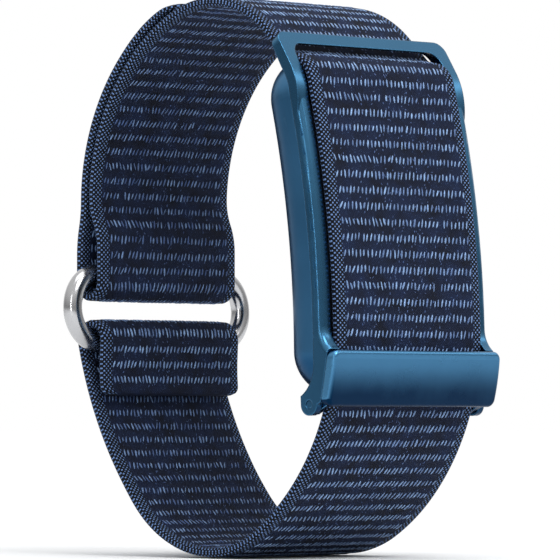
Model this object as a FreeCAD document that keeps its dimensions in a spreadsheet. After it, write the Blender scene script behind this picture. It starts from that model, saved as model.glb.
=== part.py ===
# A fitness tracker band: a sealed tracker pod in a metal frame, held on the wrist by one knit
# strap that is threaded through the frame and folded round an oval steel ring at the back.
#
# Frame of the part, in millimetres: the loop stands upright, +Z up. Y is the wrist's axis, +X
# is the side with the tracker, and the origin is the middle of the loop. Everything in the
# tracker follows one gentle bow, so its faces are arcs about the bow's centre, and a place on
# it is a radius from that centre and an angle up from the X axis.
import FreeCAD, Part
import math
import os

import Sketcher

Vector = FreeCAD.Vector
doc = FreeCAD.newDocument("tracker_band")

# Driving dimensions: name, value (mm or degrees), what it is.
SIZES = [
    ("bow_x", -109.2, "centre of the tracker's bow"),
    ("bow_z", -10.0, "centre of the tracker's bow"),
    # frame
    ("frame_width", 29.0, "over both rails"),
    ("frame_front", 130.0, "front edge of the rails"),
    ("frame_back", 128.75, "back edge of the rails"),
    ("frame_inside", 25.4, "between the rails"),
    ("frame_sheet", 1.2, "thickness of the slotted top end"),
    ("rail_top", 13.6, "angle where the rails leave the bow"),
    ("rail_top_bend", 7.0, "radius of that bend"),
    ("top_crease_x", 15.6, "crease below the slotted top end"),
    ("top_crease_z", 25.1, "crease below the slotted top end"),
    ("top_edge_x", 13.35, "top edge of the frame, front"),
    ("top_edge_z", 28.55, "top edge of the frame, front"),
    ("top_bar_low", 27.2, "lower edge of the top bar"),
    ("window_low", -8.3, "lower edge of the strap window"),
    ("window_corner", 1.6, "corner radius of the window"),
    ("crossbar_front", 129.75, "front of the bar behind the strap"),
    ("crossbar_foot", 3.6, "height of that bar's lower end over the hinge"),
    ("top_corner", 1.5, "outer corners of the top bar"),
    ("shoulder", 0.75, "rounding of the rails' outer edge"),
    ("flare_angle", 1.7, "angle where the rails leave the bow for the flare"),
    ("flare_radius", 3.4, "hollow of the flare"),
    ("horn_x", 22.2, "tip of the flare"),
    ("horn_z", -8.75, "tip of the flare"),
    # clasp
    ("pivot_x", 18.9, "clasp hinge"),
    ("pivot_z", -15.2, "clasp hinge"),
    ("knuckle", 1.3, "outer radius of the hinge knuckle"),
    ("pin_radius", 0.5, "hinge pin"),
    ("pin_clearance", 0.04, "running clearance on the pin"),
    ("ear_outside", 27.1, "over the cover's hinge ears"),
    ("ear_inside", 25.5, "between the cover's hinge ears"),
    ("recess_outside", 27.3, "over the recesses for the ears"),
    ("recess_top", -11.6, "upper end of those recesses"),
    ("ear_radius", 1.15, "eye of a hinge ear"),
    ("cover_top_x", 21.95, "cover, back face at the top"),
    ("cover_top_z", -8.85, "cover, top edge"),
    ("cover_foot_x", 20.8, "cover, back face at the foot"),
    ("cover_foot_z", -15.45, "cover, bottom edge"),
    ("cover_sheet", 1.1, "thickness of the cover"),
    ("cover_bevel", 0.6, "bevel that clears the strap"),
    ("cover_crown", 26.0, "radius of the cover's crowned front"),
    ("cover_corner", 1.0, "corners of the cover"),
    ("cover_round", 0.45, "rounding round the cover's front"),
    ("seam_gap", 0.06, "parting gap between cover and frame"),
    # strap
    ("strap_thick", 1.0, "knit strap"),
    ("strap_wide", 25.0, "width at the tracker"),
    ("strap_narrow", 23.3, "width at the ring"),
    ("taper_start_x", 12.0, "where the strap starts to narrow"),
    ("taper_end_x", -15.0, "where it reaches its narrow width"),
    ("strap_foot", -32.75, "lowest point of the strap's middle line"),
    ("strap_crown", 32.85, "highest point of the strap's middle line"),
    ("face_strap", 130.4, "strap's middle line over the pod"),
    ("front_foot_bend", 15.2, "bend radius, foot of the loop, front"),
    ("front_low_bend", 27.95, "bend radius, lower front"),
    ("low_bend_x", -6.8, "centre of that bend"),
    ("low_bend_z", -6.78, "centre of that bend"),
    ("face_end_z", 23.3, "where the strap turns into the slot"),
    ("slot_in_bend", 3.0, "bend over the pod's shoulder"),
    ("slot_in_turn", 73.2, "degrees"),
    ("slot_out_bend", 2.2, "bend under the top bar"),
    ("slot_out_turn", 42.0, "degrees"),
    ("crown_bend", 15.78, "bend radius, crown, back"),
    ("crown_turn", 25.75, "degrees"),
    ("back_bend", 24.23, "bend radius, back of the loop"),
    ("back_turn", 61.05, "degrees"),
    ("ring_bend", 8.0, "bends between the back and the upper fold"),
    ("fold_upper", 1.25, "inner radius of the upper fold"),
    ("fold_upper_x", -20.89, "upper fold"),
    ("fold_upper_z", -0.25, "upper fold"),
    ("fold_lower", 1.45, "inner radius of the lower fold"),
    ("fold_lower_x", -20.5, "lower fold"),
    ("fold_lower_z", -7.25, "lower fold"),
    ("back_foot_bend", 16.84, "bend radius, foot of the loop, back"),
    ("back_foot_turn", 50.4, "degrees"),
    ("fold_lower_turn", 196.0, "degrees"),
    ("inner_fold_run", 2.2, "straight run inside the lower fold"),
    ("inner_fold_bend", 22.0, "bend radius of the sewn end"),
    ("inner_fold_turn", 11.5, "degrees"),
    # folded-back tail
    ("tail_root_z", 3.0, "where the tail hinges off the fold"),
    ("root_gap", 0.05, "gap between fold and tail"),
    ("tail_gap", 0.4, "room for the hook patch"),
    ("tail_s_bend", 16.5, "bend radius at the tail's root"),
    ("tail_back_turn", 58.0, "degrees along the back"),
    ("tail_tip_bend", 12.5, "bend radius at the tip"),
    ("tail_tip_turn", 19.0, "degrees"),
    ("patch_thick", 0.28, "hook patch"),
    ("patch_low", 126.0, "lower end, degrees about the back bend"),
    ("patch_high", 165.0, "upper end, degrees about the back bend"),
    ("patch_width", 19.0, "hook patch"),
    ("stitch_radius", 0.14, "sewing thread"),
    ("stitch_length", 1.3, "one stitch"),
    ("stitch_pitch", 2.1, "from stitch to stitch"),
    ("stitch_row_z", -13.4, "row of stitches that holds the fold"),
    ("stitch_row_x", -18.23, "row of stitches that holds the fold"),
    # ring
    ("wire_radius", 1.15, "ring wire"),
    ("ring_height", 10.8, "outside, across the wire"),
    ("ring_length", 31.3, "outside, along the wrist"),
    ("ring_x", -20.7, "middle of the ring"),
    ("ring_z", -3.4, "middle of the ring"),
    ("ring_tilt", -2.6, "degrees about Y"),
    # pod
    ("pod_back", 123.0, "wrist side of the pod"),
    ("pod_front", 128.7, "pod under the rails"),
    ("pod_low", -1.85, "lower end, degrees"),
    ("pod_high", 16.2, "upper end, degrees"),
    ("pod_width", 28.9, "over the case"),
    ("pod_corner", 5.2, "corners, seen from the wrist"),
    ("pod_front_end_round", 4.0, "rounding of the ends behind the frame"),
    ("pod_back_round", 4.6, "pillow rounding on the wrist side"),
    ("pod_floor", 1.3, "wall on the wrist side"),
    ("cavity_width", 23.8, "inside the case"),
    ("cavity_low", 0.75, "inside, lower end, degrees"),
    ("cavity_high", 13.6, "inside, upper end, degrees"),
    ("ledge", 127.2, "ledge that the gasket lies on"),
    ("lid_width", 26.8, "front cover's base"),
    ("lid_low", 0.4, "front cover's base, lower end, degrees"),
    ("lid_high", 13.95, "front cover's base, upper end, degrees"),
    ("lid_gap", 0.05, "gap round the front cover"),
    ("gasket_thick", 0.4, "seal"),
    ("gasket_wide", 0.9, "seal"),
    ("plateau_front", 129.6, "front cover between the rails"),
    ("plateau_width", 25.0, "front cover between the rails"),
    ("plateau_low", 1.3, "degrees"),
    ("plateau_high", 13.3, "degrees"),
    # optical sensor
    ("sensor_angle", 7.2, "middle of the sensor, degrees"),
    ("window_proud", 0.35, "window beyond the case"),
    ("window_across", 17.0, "window, across the tracker"),
    ("window_along", 14.0, "window, along the tracker"),
    ("window_thick", 1.1, "window"),
    ("window_round", 3.0, "corner radius of the window"),
    ("window_rim", 0.8, "rim that the window is bonded to"),
    ("barrier_back", 123.8, "light barrier"),
    ("barrier_thick", 0.8, "light barrier"),
    ("sensor_board_back", 124.65, "board of the optical sensor"),
    ("sensor_board_thick", 0.4, "board of the optical sensor"),
    ("led_size", 1.6, "light emitter"),
    ("diode_size", 2.6, "photodiode"),
    ("emitter_thick", 0.35, "emitters and photodiodes"),
    ("emitter_room", 0.3, "room round each in the barrier"),
    ("contact_radius", 2.0, "skin temperature contact"),
    ("contact_angle", 1.7, "skin temperature contact, degrees"),
    ("contact_proud", 0.12, "contact beyond the case"),
    ("contact_thick", 1.6, "skin temperature contact"),
    # power and electronics
    ("adhesive_back", 125.3, "pad under the cell"),
    ("adhesive_thick", 0.15, "pad under the cell"),
    ("battery_front", 126.6, "cell, front side"),
    ("battery_low", 6.5, "degrees"),
    ("battery_high", 13.4, "degrees"),
    ("battery_width", 21.0, "cell"),
    ("main_board_back", 125.5, "main board"),
    ("main_board_thick", 0.6, "main board"),
    ("main_board_low", 0.95, "degrees"),
    ("main_board_high", 6.2, "degrees"),
    ("main_board_width", 14.0, "main board"),
    ("main_board_shift", -4.6, "main board, to the near side"),
    ("chip_thick", 0.8, "chips on the main board"),
    ("motor_radius", 3.6, "vibration motor"),
    ("motor_thick", 2.3, "vibration motor"),
    ("motor_back", 124.6, "vibration motor"),
    ("motor_angle", 2.6, "degrees"),
    ("motor_shift", 7.6, "motor, to the far side"),
    ("flex_wide", 5.0, "cable between the boards"),
    ("ferrite_back", 126.7, "ferrite sheet"),
    ("ferrite_thick", 0.25, "ferrite sheet"),
    ("ferrite_size", 17.0, "ferrite sheet"),
    ("coil_back", 127.0, "charging coil"),
    ("coil_thick", 0.25, "charging coil"),
    ("coil_outer", 8.0, "charging coil"),
    ("coil_inner", 4.2, "charging coil"),
    ("coil_angle", 9.6, "degrees"),
]

sheet = doc.addObject("Spreadsheet::Sheet", "Sizes")
for row, (alias, number, note) in enumerate(SIZES, start=1):
    sheet.set(f"A{row}", str(number))
    sheet.set(f"B{row}", note)
    sheet.setAlias(f"A{row}", alias)
doc.recompute()


class Dim:
    """A driven dimension: its number now, and the expression that keeps it driven."""

    def __init__(self, number, text):
        self.number = number
        self.text = text

    def join(self, sign, other, number):
        return Dim(number, f"({self.text} {sign} {other.text})")

    def __add__(self, other):
        other = dim(other)
        return self.join("+", other, self.number + other.number)

    def __sub__(self, other):
        other = dim(other)
        return self.join("-", other, self.number - other.number)

    def __mul__(self, other):
        other = dim(other)
        return self.join("*", other, self.number * other.number)

    def __truediv__(self, other):
        other = dim(other)
        return self.join("/", other, self.number / other.number)

    def __neg__(self):
        return Dim(-self.number, f"(0 - {self.text})")


def dim(value):
    return value if isinstance(value, Dim) else Dim(float(value), str(value))


NUMBERS = {alias: number for alias, number, note in SIZES}


def size(alias):
    """A cell of the sheet as a driven dimension."""
    return Dim(NUMBERS[alias], f"Sizes.{alias}")


def sine(angle):
    return Dim(math.sin(math.radians(angle.number)), f"sin({angle.text})")


def cosine(angle):
    return Dim(math.cos(math.radians(angle.number)), f"cos({angle.text})")


def on_arc(centre, radius, angle):
    """A corner at a radius and an angle about a centre."""
    return centre[0] + radius * cosine(angle), centre[1] + radius * sine(angle)


BOW = (size("bow_x"), size("bow_z"))


def on_bow(radius, angle):
    return on_arc(BOW, radius, angle)


# ---------------------------------------------------------------- bodies, sketches, features

parts = []


def new_body(label, kept=True):
    """A body. One that is not kept only shapes another part."""
    body = doc.addObject("PartDesign::Body", label)
    body.Label = label
    if kept:
        parts.append(body)
    return body


def origin_plane(body, role):
    return next(item for item in body.Origin.OriginFeatures if item.Role == role)


def new_sketch(body, role, name):
    sketch = body.newObject("Sketcher::SketchObject", f"{body.Name}_{name}")
    sketch.AttachmentSupport = [(origin_plane(body, role), "")]
    sketch.MapMode = "FlatFace"
    return sketch


def drive(sketch, kind, places, value):
    """Add one dimension to a sketch and bind it to the sheet."""
    number = math.radians(value.number) if kind == "Angle" else value.number
    index = sketch.addConstraint(Sketcher.Constraint(kind, *places, number))
    name = f"{kind}_{index}"
    sketch.renameConstraint(index, name)
    sketch.setExpression(f"Constraints.{name}", value.text)


def fix_point(sketch, edge, end, corner):
    drive(sketch, "DistanceX", (-1, 1, edge, end), corner[0])
    drive(sketch, "DistanceY", (-1, 1, edge, end), corner[1])


def arc_through(start, end, radius, side):
    """Arc from start to end: side 1 turns left, side -1 turns right."""
    chord = end - start
    across = Vector(-chord.y, chord.x, 0).normalize()
    height = math.sqrt(max(radius ** 2 - (chord.Length / 2) ** 2, 0))
    centre = (start + end) / 2 + across * height * side
    first, last = (start, end) if side > 0 else (end, start)
    low = math.atan2(first.y - centre.y, first.x - centre.x)
    high = math.atan2(last.y - centre.y, last.x - centre.x)
    return Part.ArcOfCircle(Part.Circle(centre, Vector(0, 0, 1), radius), low, high)


def outline(sketch, corners, arcs=None):
    """A closed outline. arcs maps an edge's number to its (radius, side). A half circle takes
    (radius, side, kind, value) instead, where kind and value place its centre."""
    arcs = arcs or {}
    flat = [Vector(x.number, z.number, 0) for x, z in corners]
    base = len(sketch.Geometry)
    ends = []
    for index, start in enumerate(flat):
        end = flat[(index + 1) % len(flat)]
        if index in arcs:
            radius, side = arcs[index][:2]
            edge = sketch.addGeometry(arc_through(start, end, radius.number, side))
            ends.append((1, 2) if side > 0 else (2, 1))
            if len(arcs[index]) == 2:
                drive(sketch, "Radius", (edge,), radius)
            else:
                kind, value = arcs[index][2:]
                drive(sketch, kind, (-1, 1, edge, 3), value)
        else:
            sketch.addGeometry(Part.LineSegment(start, end))
            ends.append((1, 2))
    for index, corner in enumerate(corners):
        following = (index + 1) % len(corners)
        places = (base + index, ends[index][1], base + following, ends[following][0])
        sketch.addConstraint(Sketcher.Constraint("Coincident", *places))
        fix_point(sketch, base + index, ends[index][0], corner)


def circle(sketch, centre, radius):
    edge = sketch.addGeometry(
        Part.Circle(Vector(centre[0].number, centre[1].number, 0), Vector(0, 0, 1), radius.number))
    drive(sketch, "Radius", (edge,), radius)
    fix_point(sketch, edge, 3, centre)


def rectangle(sketch, left, right, low, high):
    outline(sketch, [(left, low), (right, low), (right, high), (left, high)])


def arc_band(sketch, inner, outer, low, high, centre=BOW):
    """The area between two radii and two angles about a centre."""
    corners = [on_arc(centre, inner, low), on_arc(centre, outer, low),
               on_arc(centre, outer, high), on_arc(centre, inner, high)]
    outline(sketch, corners, {1: (outer, 1), 3: (inner, -1)})


def extrude(kind, body, sketch, name, length):
    """A Pad or Pocket of this length, half to each side of the sketch."""
    feature = body.newObject(f"PartDesign::{kind}", f"{body.Name}_{name}")
    feature.Profile = sketch
    feature.SideType = "Symmetric"
    feature.Length = length.number
    feature.setExpression("Length", length.text)
    doc.recompute()
    return feature


def pad(body, sketch, name, length):
    return extrude("Pad", body, sketch, name, length)


def pocket(body, sketch, name, length):
    """Cut, and make sure that something was cut."""
    before = body.Shape.Volume
    feature = extrude("Pocket", body, sketch, name, length)
    assert body.Shape.Volume < before, feature.Name
    return feature


THROUGH = dim(200)


def edges_where(body, wanted):
    """Names of the body's edges that the test accepts, given each edge's middle point."""
    names = []
    for index, edge in enumerate(body.Shape.Edges, start=1):
        middle = edge.valueAt((edge.FirstParameter + edge.LastParameter) / 2)
        if wanted(edge, middle):
            names.append(f"Edge{index}")
    return names


def soften(kind, body, name, amount, wanted):
    """Fillet or chamfer the edges that the test accepts."""
    base, names = body.Tip, edges_where(body, wanted)
    feature = body.newObject(f"PartDesign::{kind}", f"{body.Name}_{name}")
    feature.Base = (base, names)
    setting = "Radius" if kind == "Fillet" else "Size"
    setattr(feature, setting, amount.number)
    feature.setExpression(setting, amount.text)
    doc.recompute()
    return feature


def bow_radius(point):
    return math.hypot(point.x - NUMBERS["bow_x"], point.z - NUMBERS["bow_z"])


def runs_along(edge, axis):
    """True for a straight edge along this axis."""
    if not isinstance(edge.Curve, Part.Line):
        return False
    return abs(edge.Curve.Direction.dot(axis)) > 0.999


Y_AXIS = Vector(0, 1, 0)
DEGREES = 57.2958


def bow_slab(label, inner, outer, low, high, width, shift=None):
    """A plain slab that follows the bow."""
    body = new_body(label)
    sketch = new_sketch(body, "XZ_Plane", "outline")
    arc_band(sketch, inner, outer, low, high)
    pad(body, sketch, "slab", width)
    if shift:
        body.Placement = FreeCAD.Placement(Vector(0, shift.number, 0), FreeCAD.Rotation())
        body.setExpression("Placement.Base.y", shift.text)
    return body


# ---------------------------------------------------------------- strap paths


def path(sketch, start, heading, moves):
    """A chain of tangent arcs and lines. Each move is a dictionary with its kind ("line" or
    "arc"), its rough length or turn, and what drives it; the rest follows from tangency. A
    slack arc finds its own radius."""
    here = Vector(start[0].number, start[1].number, 0)
    angle = math.radians(heading)
    joints = []
    for move in moves:
        ahead = Vector(math.cos(angle), math.sin(angle), 0)
        if move["kind"] == "line":
            there = here + ahead * move["rough"]
            edge = sketch.addGeometry(Part.LineSegment(here, there))
            joints.append((edge, 1, 2))
        else:
            side = move["side"]
            radius = move["radius"].number
            centre = here + Vector(-ahead.y, ahead.x, 0) * radius * side
            turn = math.radians(move["rough"]) * side
            low = math.atan2(here.y - centre.y, here.x - centre.x)
            first, last = (low, low + turn) if side > 0 else (low + turn, low)
            ring = Part.Circle(centre, Vector(0, 0, 1), radius)
            edge = sketch.addGeometry(Part.ArcOfCircle(ring, first, last))
            joints.append((edge, 1, 2) if side > 0 else (edge, 2, 1))
            angle += turn
            there = centre + Vector(math.cos(low + turn), math.sin(low + turn), 0) * radius
        here = there
    for (edge, first, last), (following, its_first, its_last) in zip(joints, joints[1:]):
        sketch.addConstraint(Sketcher.Constraint("Tangent", edge, last, following, its_first))
    fix_point(sketch, joints[0][0], joints[0][1], start)
    for (edge, first, last), move in zip(joints, moves):
        if "radius" in move and not move.get("slack"):
            drive(sketch, "Radius", (edge,), move["radius"])
        if "turn" in move:
            drive(sketch, "Angle", (edge,), move["turn"])
        if "length" in move:
            drive(sketch, "Distance", (edge,), move["length"])
        if "centre_x" in move:
            drive(sketch, "DistanceX", (-1, 1, edge, 3), move["centre_x"])
        if "centre_z" in move:
            drive(sketch, "DistanceY", (-1, 1, edge, 3), move["centre_z"])
        if "end_x" in move:
            drive(sketch, "DistanceX", (-1, 1, edge, last), move["end_x"])
        if "end_z" in move:
            drive(sketch, "DistanceY", (-1, 1, edge, last), move["end_z"])
        if move.get("upright"):
            sketch.addConstraint(Sketcher.Constraint("Vertical", edge))
    return joints


def arc(side, radius, rough, **driven):
    return dict(kind="arc", side=side, radius=radius, rough=rough, **driven)


def line(rough, **driven):
    return dict(kind="line", rough=rough, **driven)


LEFT, RIGHT = 1, -1


def sweep(body, section, spine, name):
    pipe = body.newObject("PartDesign::AdditivePipe", f"{body.Name}_{name}")
    pipe.Profile = section
    pipe.Spine = (spine, [f"Edge{number + 1}" for number in range(len(spine.Geometry))])
    doc.recompute()
    return pipe


def align(sketch, kind, joint):
    """Set the heading of a path's first arc by lining its start up with its centre."""
    edge, first, last = joint
    sketch.addConstraint(Sketcher.Constraint(kind, edge, first, edge, 3))


HALF_STRAP = size("strap_thick") / 2
UPPER_FOLD = size("fold_upper") + HALF_STRAP
LOWER_FOLD = size("fold_lower") + HALF_STRAP
CROWN_CENTRE_Z = size("strap_crown") - size("crown_bend")
BACK_CENTRE = ((size("back_bend") - size("crown_bend")) * sine(size("crown_turn")),
               CROWN_CENTRE_Z - (size("back_bend") - size("crown_bend")) * cosine(size("crown_turn")))
ZERO = dim(0)


def make_strap():
    """One knit strap: up the front over the pod, through the slot, over the crown and round
    the ring, and the other way from the foot of the loop round the ring and back inside."""
    body = new_body("knit_strap")
    front = new_sketch(body, "XZ_Plane", "front_path")
    joints = path(front, (ZERO, size("strap_foot")), 0, [
        arc(LEFT, size("front_foot_bend"), 32.2),
        arc(LEFT, size("front_low_bend"), 59.6),
        arc(LEFT, size("face_strap"), 13.0, centre_x=BOW[0], centre_z=BOW[1],
            end_z=size("face_end_z")),
        arc(LEFT, size("slot_in_bend"), 73.2, turn=size("slot_in_turn")),
        arc(RIGHT, size("slot_out_bend"), 42.0, turn=size("slot_out_turn")),
        line(3.96),
        arc(LEFT, dim(14), 44.0, slack=True, end_x=ZERO, centre_x=ZERO,
            end_z=size("strap_crown")),
        arc(LEFT, size("crown_bend"), 25.75, turn=size("crown_turn")),
        arc(LEFT, size("back_bend"), 61.05, turn=size("back_turn")),
        arc(LEFT, size("ring_bend"), 28.0),
        arc(RIGHT, size("ring_bend"), 25.0),
        line(3.9, upright=True, end_x=size("fold_upper_x") + UPPER_FOLD,
             end_z=size("fold_upper_z")),
        arc(RIGHT, UPPER_FOLD, 180.0, turn=dim(180)),
        line(3.25, end_z=size("tail_root_z")),
    ])
    align(front, "Vertical", joints[0])
    back = new_sketch(body, "XZ_Plane", "back_path")
    joints = path(back, (ZERO, size("strap_foot")), 180, [
        arc(RIGHT, size("back_foot_bend"), 50.4, turn=size("back_foot_turn")),
        arc(RIGHT, dim(43), 30.0, slack=True),
        arc(RIGHT, LOWER_FOLD, 196.0, centre_x=size("fold_lower_x"),
            centre_z=size("fold_lower_z"), turn=size("fold_lower_turn")),
        line(2.2, length=size("inner_fold_run")),
        arc(LEFT, size("inner_fold_bend"), 11.5, turn=size("inner_fold_turn")),
    ])
    align(back, "Vertical", joints[0])
    section = new_sketch(body, "YZ_Plane", "section")
    half = size("strap_wide") / 2
    rectangle(section, -half, half, size("strap_foot") - HALF_STRAP,
              size("strap_foot") + HALF_STRAP)
    doc.recompute()
    sweep(body, section, front, "front")
    sweep(body, section, back, "back")
    taper = new_sketch(body, "XY_Plane", "taper")
    narrow = size("strap_narrow") / 2
    beyond = half + 2
    behind = size("taper_end_x") * 2
    for side in (1, -1):
        corners = [(size("taper_start_x"), half), (size("taper_end_x"), narrow),
                   (behind, narrow), (behind, beyond), (size("taper_start_x"), beyond)]
        outline(taper, [(x, y * side) for x, y in corners])
    pocket(body, taper, "taper_cut", THROUGH)


def make_tail():
    """The strap's free end, folded back outside the loop, with the hook patch under it."""
    body = new_body("strap_tail")
    root_x = size("fold_upper_x") - UPPER_FOLD
    spine = new_sketch(body, "XZ_Plane", "path")
    outer = size("back_bend") + size("strap_thick") + size("tail_gap")
    joints = path(spine, (root_x, size("tail_root_z") + size("root_gap")), 90, [
        arc(RIGHT, size("tail_s_bend"), 11.3),
        arc(LEFT, size("tail_s_bend"), 11.3),
        arc(RIGHT, outer, 58.0, centre_x=BACK_CENTRE[0], centre_z=BACK_CENTRE[1],
            turn=size("tail_back_turn")),
        arc(RIGHT, size("tail_tip_bend"), 19.0, turn=size("tail_tip_turn")),
    ])
    align(spine, "Horizontal", joints[0])
    section = new_sketch(body, "XY_Plane", "section")
    section.AttachmentOffset = FreeCAD.Placement(
        Vector(0, 0, (size("tail_root_z") + size("root_gap")).number), FreeCAD.Rotation())
    section.setExpression("AttachmentOffset.Base.z", "Sizes.tail_root_z + Sizes.root_gap")
    half = size("strap_narrow") / 2
    rectangle(section, root_x - HALF_STRAP, root_x + HALF_STRAP, -half, half)
    doc.recompute()
    sweep(body, section, spine, "layer")

    patch = new_body("hook_patch")
    middle = size("back_bend") + (size("strap_thick") + size("tail_gap")) / 2
    sketch = new_sketch(patch, "XZ_Plane", "outline")
    inner = middle - size("patch_thick") / 2
    arc_band(sketch, inner, inner + size("patch_thick"), size("patch_low"), size("patch_high"),
             BACK_CENTRE)
    pad(patch, sketch, "slab", size("patch_width"))


def make_stitches():
    """A row of thread stitches across the sewn end inside the lower fold."""
    group = doc.addObject("Part::Compound", "fold_stitching")
    group.Label = "fold_stitching"
    count = 9
    stitches = []
    for index in range(count):
        stitch = doc.addObject("Part::Cylinder", f"stitch_{index + 1}")
        stitch.setExpression("Radius", "Sizes.stitch_radius")
        stitch.setExpression("Height", "Sizes.stitch_length")
        along = f"Sizes.stitch_pitch * {index - count // 2}"
        turn = FreeCAD.Rotation(Vector(1, 0, 0), -90)
        stitch.Placement = FreeCAD.Placement(Vector(0, 0, 0), turn)
        stitch.setExpression("Placement.Base.x", "Sizes.stitch_row_x")
        stitch.setExpression("Placement.Base.y", f"{along} - Sizes.stitch_length / 2")
        stitch.setExpression("Placement.Base.z", "Sizes.stitch_row_z")
        stitches.append(stitch)
    group.Links = stitches
    parts.append(group)


def make_ring():
    """An oval of round steel wire, made upright at the origin and then set in place."""
    body = new_body("oval_ring")
    radius = size("ring_height") / 2 - size("wire_radius")
    straight = size("ring_length") / 2 - size("ring_height") / 2
    oval = new_sketch(body, "YZ_Plane", "path")
    corners = [(-straight, -radius), (straight, -radius), (straight, radius), (-straight, radius)]
    outline(oval, corners, {1: (radius, 1, "DistanceX", straight),
                            3: (radius, 1, "DistanceX", -straight)})
    section = new_sketch(body, "XZ_Plane", "section")
    circle(section, (ZERO, -radius), size("wire_radius"))
    doc.recompute()
    sweep(body, section, oval, "wire")
    place = Vector(NUMBERS["ring_x"], 0, NUMBERS["ring_z"])
    body.Placement = FreeCAD.Placement(place, FreeCAD.Rotation(Y_AXIS, NUMBERS["ring_tilt"]))
    body.setExpression("Placement.Base.x", "Sizes.ring_x")
    body.setExpression("Placement.Base.z", "Sizes.ring_z")
    body.setExpression("Placement.Rotation.Angle", "-Sizes.ring_tilt")
    body.setExpression("Placement.Rotation.Axis.y", "-1")


# ---------------------------------------------------------------- frame and clasp


def make_frame():
    """Two bowed rails joined by a top bar and by a crossbar behind the strap."""
    body = new_body("frame")
    side = new_sketch(body, "XZ_Plane", "side")
    front, back = size("frame_front"), size("frame_back")
    flare = on_bow(front, size("flare_angle"))
    top = (size("top_edge_x"), size("top_edge_z"))
    crease = (size("top_crease_x"), size("top_crease_z"))
    rise = math.atan2(top[1].number - crease[1].number, top[0].number - crease[0].number)
    inward = Vector(-math.sin(rise), math.cos(rise), 0)
    sheet_x = dim(inward.x) * size("frame_sheet")
    sheet_z = dim(inward.y) * size("frame_sheet")
    corners = [
        flare,
        on_bow(front, size("rail_top")),
        crease,
        top,
        (top[0] + sheet_x, top[1] + sheet_z),
        (crease[0] + sheet_x - 0.15, crease[1] + sheet_z - 0.2),
        on_bow(back, size("rail_top") + 0.1),
        on_bow(back, dim(0.05)),
        (size("pivot_x") - 1.35, size("pivot_z") + 0.95),
        (size("pivot_x") - size("knuckle"), size("pivot_z")),
        (size("pivot_x") + size("knuckle"), size("pivot_z")),
        (size("cover_foot_x") - size("seam_gap"), size("pivot_z") + 0.25),
        (size("cover_top_x") - size("seam_gap"), size("horn_z")),
        (size("horn_x"), size("horn_z")),
    ]
    arcs = {
        0: (front, 1),
        1: (size("rail_top_bend") + 2, 1),
        5: (size("rail_top_bend"), -1),
        6: (back, -1),
        7: (size("pod_front_end_round") + 0.3, -1),
        9: (size("knuckle"), 1, "DistanceY", size("pivot_z")),
        13: (size("flare_radius"), -1),
    }
    outline(side, corners, arcs)
    pad(body, side, "blank", size("frame_width"))

    inside = size("frame_inside") / 2
    window = new_sketch(body, "YZ_Plane", "window")
    rectangle(window, -inside, inside, size("window_low"), size("top_bar_low"))
    pocket(body, window, "window_cut", THROUGH)
    channel = new_sketch(body, "XZ_Plane", "channel")
    arc_band(channel, size("crossbar_front"), front + 4, dim(-4), dim(1.2))
    pocket(body, channel, "channel_cut", size("frame_inside"))
    # Below the channel the strap bends away towards the foot of the loop.
    relief = new_sketch(body, "XZ_Plane", "relief")
    clear = size("front_low_bend") - HALF_STRAP - 0.1
    arc_band(relief, clear, clear + 6, dim(-40), dim(0), (size("low_bend_x"), size("low_bend_z")))
    pocket(body, relief, "relief_cut", size("frame_inside"))
    recess = new_sketch(body, "YZ_Plane", "recess")
    outer = size("recess_outside") / 2
    floor = size("pivot_z") - 3
    for low, high in ((inside - 0.01, outer), (-outer, -inside + 0.01)):
        rectangle(recess, low, high, floor, size("recess_top"))
    pocket(body, recess, "recess_cut", THROUGH)
    # The crossbar ends above the hinge.
    foot = new_sketch(body, "YZ_Plane", "crossbar_foot")
    rectangle(foot, -inside, inside, floor, size("pivot_z") + size("crossbar_foot"))
    pocket(body, foot, "crossbar_foot_cut", THROUGH)
    bore = new_sketch(body, "XZ_Plane", "bore")
    circle(bore, (size("pivot_x"), size("pivot_z")), size("pin_radius"))
    pocket(body, bore, "bore_cut", THROUGH)

    def is_window_corner(edge, middle):
        lengthways = isinstance(edge.Curve, Part.Line) and abs(edge.Curve.Direction.y) < 0.01
        at_corner = abs(abs(middle.y) - NUMBERS["frame_inside"] / 2) < 0.02
        low = abs(middle.z - NUMBERS["window_low"]) < 0.02
        high = abs(middle.z - NUMBERS["top_bar_low"]) < 0.02
        return lengthways and at_corner and (low or high)

    def is_shoulder(edge, middle):
        outside = abs(abs(middle.y) - NUMBERS["frame_width"] / 2) < 0.01
        return outside and abs(bow_radius(middle) - NUMBERS["frame_front"]) < 0.01

    def is_top_corner(edge, middle):
        outside = abs(abs(middle.y) - NUMBERS["frame_width"] / 2) < 0.01
        return outside and isinstance(edge.Curve, Part.Line) and middle.z > 28

    soften("Fillet", body, "top_corners", size("top_corner"), is_top_corner)
    soften("Fillet", body, "window_corners", size("window_corner"), is_window_corner)
    soften("Fillet", body, "shoulders", size("shoulder"), is_shoulder)


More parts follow.
